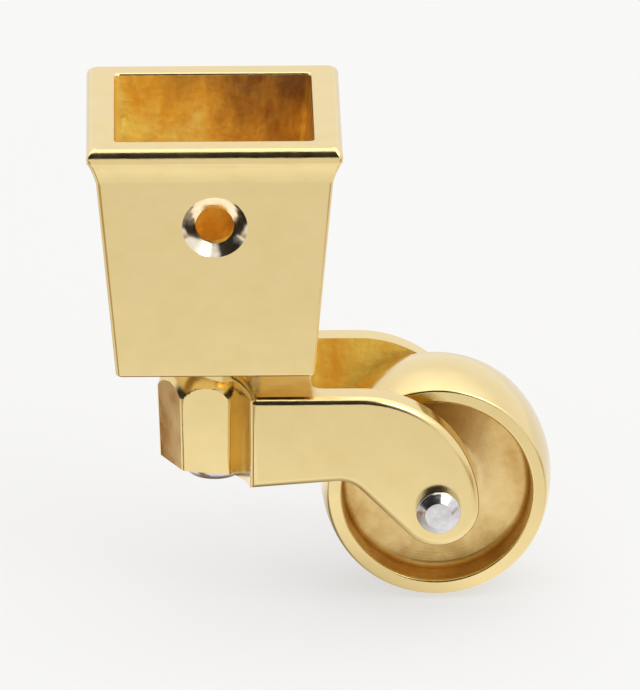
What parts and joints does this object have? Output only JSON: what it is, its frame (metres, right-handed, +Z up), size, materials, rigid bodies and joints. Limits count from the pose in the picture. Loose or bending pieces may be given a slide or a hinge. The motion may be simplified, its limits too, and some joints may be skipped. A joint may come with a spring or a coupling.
{
  "type": "square cup castor",
  "caption": "Square tapered brass socket with a moulded rim and a screw hole, turning on a riveted pin over an offset forked horn that carries a dished brass wheel.",
  "frame": {"origin": "centre of the cup's inside floor, on the swivel axis, where the end of the leg stands", "axes": "+Z up the leg along the swivel axis, -Y out of the face with the screw hole, +X towards the trailing wheel at rest"},
  "size_m": [0.0754, 0.041, 0.0827],
  "materials": {
    "polished_brass": "polished cast brass, left rough-cast inside the cup",
    "bright_steel": "bright turned steel, hammered over at the ends"
  },
  "bodies": {
    "socket": {"socket_cup": "polished_brass", "swivel_pin": "bright_steel", "swivel_washer": "bright_steel"},
    "fork": {"horn": "polished_brass", "axle_pin": "bright_steel"},
    "roller": {"wheel": "polished_brass"}
  },
  "joints": [
    {"name": "swivel", "type": "hinge", "parent": "socket", "child": "fork", "pos_m": [0, 0, 0], "axis": [0, 0, 1], "continuous": true},
    {"name": "wheel_spin", "type": "hinge", "parent": "fork", "child": "roller", "pos_m": [0.0361, 0, -0.0277], "axis": [0, 1, 0], "continuous": true}
  ]
}
